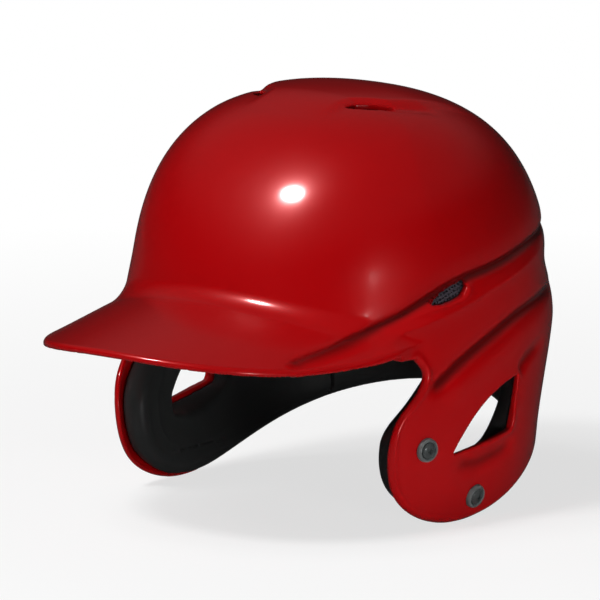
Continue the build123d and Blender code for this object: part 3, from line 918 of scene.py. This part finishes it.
def place_camera():
    level = math.cos(ELEVATION)
    back = Vector((math.sin(AZIMUTH) * level, -math.cos(AZIMUTH) * level, math.sin(ELEVATION)))
    right = Vector((math.cos(AZIMUTH), math.sin(AZIMUTH), 0.0))
    turn = Matrix((right, back.cross(right), back)).transposed().to_4x4()
    camera = linked("camera", bpy.data.cameras.new("camera"))
    camera.matrix_world = Matrix.Translation(CAMERA_TARGET + CAMERA_DISTANCE * back) @ turn
    camera.data.lens, camera.data.sensor_width = LENS, SENSOR
    camera.data.clip_start, camera.data.clip_end = 0.1, 100.0
    bpy.context.scene.camera = camera


place_camera()


# ---------------- pieces
SHELL_STEP, PAD_STEP, LINER_STEP = ((1.25, 1.6, 2.0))

shell = from_field("outer_shell_painted", shell_field, (0.0, -174.0, -4.0),
                   (106.0, 131.0, 214.0), SHELL_STEP, 196000, symmetric=True)
points = (vertices_of(shell) - ORIGIN) / MM
# How deep each point lies in a groove, which darkens the paint there as painted shade.
recess = shell.data.attributes.new("recess", "FLOAT", "POINT")
recess.data.foreach_set("value", ease((-detail_at(points) - 0.5) / 2.0))
dress(shell, red_paint, "helmet", "outer_shell")

ear_left = from_field("ear_pad_left_foam", ear_pad_field, (50.0, -64.0, -4.0),
                      (104.0, 80.0, 98.0), PAD_STEP, 90000)
ear_right = mirrored_copy(ear_left, "ear_pad_right_foam")
nape = from_field("nape_pad_foam", nape_pad_field, (0.0, 74.0, 10.0), (90.0, 130.0, 98.0),
                  PAD_STEP, 80000, symmetric=True)
liner = from_field("impact_liner_foam", liner_field, (0.0, -115.0, 90.0),
                   (104.0, 130.0, 208.0), LINER_STEP, 150000, symmetric=True)
for piece, node in ((ear_left, "ear_pad_left"), (ear_right, "ear_pad_right"), (nape, "nape_pad")):
    dress(piece, pad_skin, "helmet", node)
dress(liner, liner_foam, "helmet", "impact_liner")


# How far a comfort pad is shrunk and may be blown up, and its voxels' size, in metres.
SHRINK, PUFF, VOXEL = 0.0006, 0.0022, 0.0024


def comfort_pad(node):
    """A thin cloth-covered pad: the CAD pad shrunk, remeshed and blown up by simulation."""
    piece = copy_of(frame["nodes"][node], node + "_cloth")
    for key in list(piece.keys()):
        del piece[key]
    piece.parent = None
    with edit_mode(piece):
        bpy.ops.mesh.remove_doubles(threshold=0.00002)
        bpy.ops.transform.shrink_fatten(value=-SHRINK)
    applied(piece, "REMESH", mode="VOXEL", voxel_size=VOXEL)
    applied(piece, "SMOOTH", factor=0.5, iterations=6)
    puff(piece, PUFF)
    applied(piece, "SUBSURF", levels=1, render_levels=1)
    for polygon in piece.data.polygons:
        polygon.use_smooth = True
    return piece


def puff(piece, cap):
    """Blows a pad up with Cloth, with every point held within cap of where it started."""
    only(piece)
    before = vertices_of(piece)
    cloth = piece.modifiers.new("Cloth", "CLOTH")
    for key, value in (("use_pressure", True), ("uniform_pressure_force", 4.0), ("quality", 4),
                       ("mass", 0.2), ("tension_stiffness", 12.0)):
        setattr(cloth.settings, key, value)
    cloth.settings.effector_weights.gravity = 0.0
    cloth.point_cache.frame_start, cloth.point_cache.frame_end = 1, 20
    scene = bpy.context.scene
    for step in range(1, 15):
        scene.frame_set(step)
    settled = piece.evaluated_get(bpy.context.evaluated_depsgraph_get())
    move = vertices_of(settled) - before
    far = np.linalg.norm(move, axis=1)[:, None]
    piece.modifiers.remove(cloth)
    scene.frame_set(1)
    set_vertices(piece, before + move * np.minimum(1.0, cap / np.maximum(far, 1e-9)))


for node in ("brow_pad", "side_pad_left", "side_pad_right", "rear_pad", "crown_pad"):
    pad = comfort_pad(node)
    dress(pad, comfort_cloth, "helmet", node)


# ---------------- fasteners
# Outlines are (radius, height), with heights along the axis from the head form's surface.
WASHER_OUTLINE = (
    (2.7, 0.2), (6.25, 0.2), (6.05, 1.5), (5.47, 2.4), (4.95, 2.55), (4.5, 2.1), (4.5, 1.0),
    (2.7, 1.0))
HEAD_RADIUS, HEAD_SEAT, HEAD_TOP = 4.3, 1.2, 3.6
CORE_RADIUS, SHANK_RADIUS, TIP_DEPTH = 2.12, 2.5, -7.8
PITCH, TURNS, THREAD_HALF_HEIGHT = 0.8, 7, 0.34
# The cross recess narrows downwards. Its arms differ a little in depth so that no two
# of their faces lie in one plane.
RECESS_LENGTH, RECESS_WIDTH, RECESS_DEPTHS = 5.0, 1.4, (1.5, 1.56)


def begun(primitive, **settings):
    """A new piece from a primitive at the origin."""
    bpy.ops.object.select_all(action="DESELECT")
    primitive(location=(0.0, 0.0, 0.0), **settings)
    return bpy.context.object


def turned(name, outline, ring):
    """A piece turned about z: a circle extruded along an outline, closed up if a ring."""
    piece = begun(bpy.ops.mesh.primitive_circle_add, vertices=64, radius=outline[0][0] * MM)
    piece.name = piece.data.name = name
    outline = outline + outline[:1] if ring else outline
    with edit_mode(piece):
        bpy.ops.transform.translate(value=(0.0, 0.0, outline[0][1] * MM))
        for (radius, height), (wider, higher) in zip(outline, outline[1:]):
            bpy.ops.mesh.extrude_region_move(
                TRANSFORM_OT_translate={"value": (0.0, 0.0, (higher - height) * MM)})
            bpy.ops.transform.resize(
                value=(wider / radius, wider / radius, 1.0), center_override=(0.0, 0.0, 0.0))
        bpy.ops.mesh.select_all(action="SELECT")
        bpy.ops.mesh.remove_doubles(threshold=0.000001)
        bpy.ops.mesh.fill_holes(sides=0)
        bpy.ops.mesh.normals_make_consistent(inside=False)
    return piece


def edge_smoothed(piece):
    only(piece)
    bpy.ops.object.shade_smooth_by_angle(angle=math.radians(35.0))
    return piece


def cup_washer():
    piece = turned("cup_washer", WASHER_OUTLINE, True)
    applied(piece, "BEVEL", width=0.14 * MM, segments=2, limit_method="ANGLE",
            angle_limit=math.radians(30.0))
    return edge_smoothed(piece)


def domed_screw():
    """A domed machine screw with a cross recess and a rolled thread."""
    rise = HEAD_TOP - HEAD_SEAT
    dome = tuple((HEAD_RADIUS * math.sin(t), HEAD_SEAT + rise * math.cos(t) ** 0.9)
                 for t in (0.06, 0.22, 0.4, 0.58, 0.76, 0.94, 1.12, 1.28, 1.42, 1.5))
    piece = turned("domed_screw", dome + (
        (4.12, HEAD_SEAT - 0.12), (SHANK_RADIUS, HEAD_SEAT - 0.1), (SHANK_RADIUS, -0.2),
        (CORE_RADIUS, -0.5), (CORE_RADIUS, TIP_DEPTH + 0.6), (1.7, TIP_DEPTH)), False)
    for turn, depth in zip((0.0, math.pi / 2.0), RECESS_DEPTHS):
        cutter = begun(bpy.ops.mesh.primitive_cube_add, size=1.0)
        cutter.data.transform(Matrix.Diagonal((
            RECESS_LENGTH * MM, RECESS_WIDTH * MM, 2.0 * depth * MM, 1.0)))
        for vertex in cutter.data.vertices:
            if vertex.co.z < 0.0:
                vertex.co.x, vertex.co.y = vertex.co.x * 0.5, vertex.co.y * 0.6
        cutter.data.transform(Matrix.Rotation(turn, 4, "Z"))
        cutter.data.transform(Matrix.Translation((0.0, 0.0, HEAD_TOP * MM)))
        applied(piece, "BOOLEAN", operation="DIFFERENCE", object=cutter, solver="EXACT")
        bpy.data.objects.remove(cutter)
    thread = thread_ridge()
    only(piece)
    thread.select_set(True)
    bpy.ops.object.join()
    return edge_smoothed(piece)


def thread_ridge():
    """One helical ridge round the shank, with closed ends."""
    thread = begun(bpy.ops.mesh.primitive_circle_add, vertices=3, radius=0.45 * MM)
    root, first = CORE_RADIUS - 0.08, TIP_DEPTH + 0.9
    section = (root, -THREAD_HALF_HEIGHT), (SHANK_RADIUS, 0.0), (root, THREAD_HALF_HEIGHT)
    for vertex, (radius, height) in zip(thread.data.vertices, section):
        vertex.co = (radius * MM, 0.0, (height + first) * MM)
    applied(thread, "SCREW", axis="Z", screw_offset=PITCH * MM, iterations=TURNS, steps=40,
            render_steps=40)
    with edit_mode(thread):
        bpy.ops.mesh.fill_holes(sides=0)
        bpy.ops.mesh.normals_make_consistent(inside=False)
    return thread


def set_in(template, name, place, axis):
    """A copy of a template standing on the head form at a fastener's place."""
    copy = copy_of(template, name)
    turn = Vector(axis).to_track_quat("Z", "Y").to_matrix().to_4x4()
    copy.data.transform(Matrix.Translation(Vector(place * MM + ORIGIN)) @ turn)
    return copy


washer_template, screw_template = cup_washer(), domed_screw()
for where, (place, axis) in FASTENERS.items():
    washer = set_in(washer_template, f"washer_{where}_cup", place, axis)
    dress(washer, grey_metal, f"washer_{where}", f"washer_{where}")
    screw = set_in(screw_template, f"screw_{where}_domed", place, axis)
    dress(screw, dark_steel, f"screw_{where}", f"screw_{where}")
    nut = frame["nodes"][f"nut_{where}"]
    nut.data.materials.clear()
    nut.data.materials.append(zinc)
for template in (washer_template, screw_template):
    bpy.data.objects.remove(template)


# ---------------- vent meshes
SHEET_LENGTH, SHEET_WIDTH, SHEET_THICKNESS, SHEET_DEPTH = 33.0, 12.8, 0.9, 4.3
HOLE_PITCH, BAR_HALF = 1.9, 0.42
# A sheet's middle near the head form, the two axes it is flat along, and its tilt.
SHEETS = {
    "side": ((92.0, -18.0, 118.0), (1, 2), math.radians(20.0)),
    "crown": ((36.0, -7.0, 188.0), (0, 1), math.radians(50.0)),
}


def laid_behind_shell(u, v, height, middle, axes, tilt):
    """Points of a flat sheet, tilted and moved to just behind the shell's inner face."""
    P = np.tile(middle, (len(u), 1))
    P[:, axes[0]] += u * math.cos(tilt) - v * math.sin(tilt)
    P[:, axes[1]] += u * math.sin(tilt) + v * math.cos(tilt)
    P = settle(lambda Q: distance(form_level, Q), P, 20.0, 8)
    slope = slopes(lambda Q: distance(form_level, Q), P)
    normal = slope / np.linalg.norm(slope, axis=1)[:, None]
    return P + normal * (height - SHEET_DEPTH + dented(relief_at(P)))[:, None]


def vent_sheet(kind):
    """A fine perforated sheet with rounded holes, laid behind one of the left vents."""
    columns, rows = round(SHEET_LENGTH / HOLE_PITCH), round(SHEET_WIDTH / HOLE_PITCH)
    piece = begun(bpy.ops.mesh.primitive_grid_add, x_subdivisions=columns,
                  y_subdivisions=rows, size=1.0)
    piece.name = piece.data.name = f"{kind}_vent_mesh_left_fine"
    piece.data.transform(Matrix.Diagonal((SHEET_LENGTH, SHEET_WIDTH, 1.0, 1.0)))
    with edit_mode(piece):
        bpy.ops.mesh.inset(thickness=BAR_HALF, use_individual=True, use_even_offset=True)
        bpy.ops.mesh.delete(type="ONLY_FACE")
    applied(piece, "SOLIDIFY", thickness=SHEET_THICKNESS, offset=0.0)
    levels = 2
    applied(piece, "SUBSURF", levels=levels, render_levels=levels)
    laid = laid_behind_shell(*vertices_of(piece).T, *SHEETS[kind])
    set_vertices(piece, laid * MM + ORIGIN)
    with edit_mode(piece):
        bpy.ops.mesh.normals_make_consistent(inside=False)
    return edge_smoothed(piece)


for kind in SHEETS:
    left = vent_sheet(kind)
    right = mirrored_copy(left, f"{kind}_vent_mesh_right_fine")
    for piece, side in ((left, "left"), (right, "right")):
        dress(piece, mesh_plastic, "helmet", f"{kind}_vent_mesh_{side}")


# ---------------- floor, backdrop and light
ROOM_LIGHT, GLOSS_LOW, GLOSS_HIGH, FLOOR_GLOSS = 0.04, 0.01, 0.07, 0.03
WHITE, FLOOR_COLOUR = (1.0, 1.0, 1.0, 1.0), (0.86, 0.86, 0.86, 1.0)
# Where the floor starts to fade to white and where it has, in metres, and how white it starts.
FADE_START, FADE_END, FADE_FROM = 0.20, 0.8, 0.70


def ray_shares(net):
    """1 for rays seen straight or through clear parts, and 1 for glossy rays."""
    ray = net.nodes.new("ShaderNodeLightPath").outputs
    seen = net.math("MAXIMUM", ray["Is Camera Ray"], ray["Is Transmission Ray"])
    return seen, ray["Is Glossy Ray"]


def pale_floor():
    """A pale matt floor that fades to white away from the object and keeps its shadow."""
    bpy.ops.object.select_all(action="DESELECT")
    bpy.ops.mesh.primitive_plane_add(size=24.0, location=(0.0, 0.0, -0.0005))
    floor = bpy.context.object
    floor.name = "floor"
    made = bpy.data.materials.new("pale_floor")
    made.use_nodes = True
    net = Net(made.node_tree)
    net.nodes.clear()
    seen, glossy = ray_shares(net)
    away = net.add("VectorMath", (net.add("TexCoord", (), "Object"),), "Value", operation="LENGTH")
    white = net.add("MapRange", {
        "Value": away, "From Min": FADE_START, "From Max": FADE_END, "To Min": FADE_FROM,
        "To Max": 1.0}, "Result")
    share = net.math("MAXIMUM", net.math("MULTIPLY", seen, white), glossy)
    dimmed = net.math("MULTIPLY_ADD", glossy, FLOOR_GLOSS - 1.0, 1.0)
    mix = net.add("MixShader", (
        share, net.add("BsdfDiffuse", {"Color": FLOOR_COLOUR}),
        net.add("Emission", {"Color": WHITE, "Strength": dimmed})))
    net.put(net.nodes.new("ShaderNodeOutputMaterial").inputs["Surface"], mix)
    floor.data.materials.append(made)


def white_surroundings():
    """White to the camera; gloss sees a pale ceiling over dark walls; soft light is dim."""
    world = bpy.data.worlds.new("studio")
    bpy.context.scene.world = world
    world.use_nodes = True
    net = Net(world.node_tree)
    seen, glossy = ray_shares(net)
    up = net.add("SeparateXYZ", (net.add("TexCoord", (), "Generated"),), "Z")
    ceiling = net.add("MapRange", {
        "Value": up, "From Min": 0.26, "From Max": 0.62, "To Min": GLOSS_LOW,
        "To Max": GLOSS_HIGH}, "Result", interpolation_type="SMOOTHSTEP")
    shine = net.math("MULTIPLY", glossy, net.math("SUBTRACT", ceiling, ROOM_LIGHT))
    soft = net.math("ADD", shine, ROOM_LIGHT)
    back = net.nodes["Background"].inputs
    net.put(back["Color"], WHITE)
    net.put(back["Strength"], net.math("MAXIMUM", soft, seen))


def lamp(name, place, target, size, power, shape="RECTANGLE", glossy=False, spread=180.0):
    data = bpy.data.lights.new(name, "AREA")
    data.shape = shape
    data.size, data.size_y = size
    data.energy = power
    data.spread = math.radians(spread)
    light = linked(name, data)
    light.location = place
    light.rotation_mode = "QUATERNION"
    light.rotation_quaternion = (Vector(target) - Vector(place)).to_track_quat("-Z", "Y")
    light.visible_camera = False
    light.visible_glossy = glossy


pale_floor()
white_surroundings()
MIDDLE, FLAP = Vector((0.0, 0.0, 0.11)), (0.09, 0.035, 0.055)
KEY_WAY, OVERHEAD_WAY = Vector((-0.104, -0.610, 0.786)), Vector((-0.24, -0.52, 0.82))
EDGE_WAY = Vector((0.90, -0.42, -0.03))
lamp("key", MIDDLE + 2.2 * KEY_WAY, MIDDLE, (0.50, 0.33), 27.0, "ELLIPSE", glossy=True)
lamp("overhead", MIDDLE + 3.0 * OVERHEAD_WAY, MIDDLE, (1.8, 1.8), 44.0)
lamp("flap_fill", (0.72, -0.26, 0.07), FLAP, (0.30, 0.10), 0.12, spread=36.0)
lamp("edge_light", MIDDLE + 2.0 * EDGE_WAY, MIDDLE, (0.12, 0.6), 3.2, glossy=True)
lamp("low_fill", (0.72, -0.20, 0.03), (0.09, 0.03, 0.0), (0.20, 0.05), 0.015, spread=26.0)

bpy.context.scene.view_settings.view_transform = "Standard"
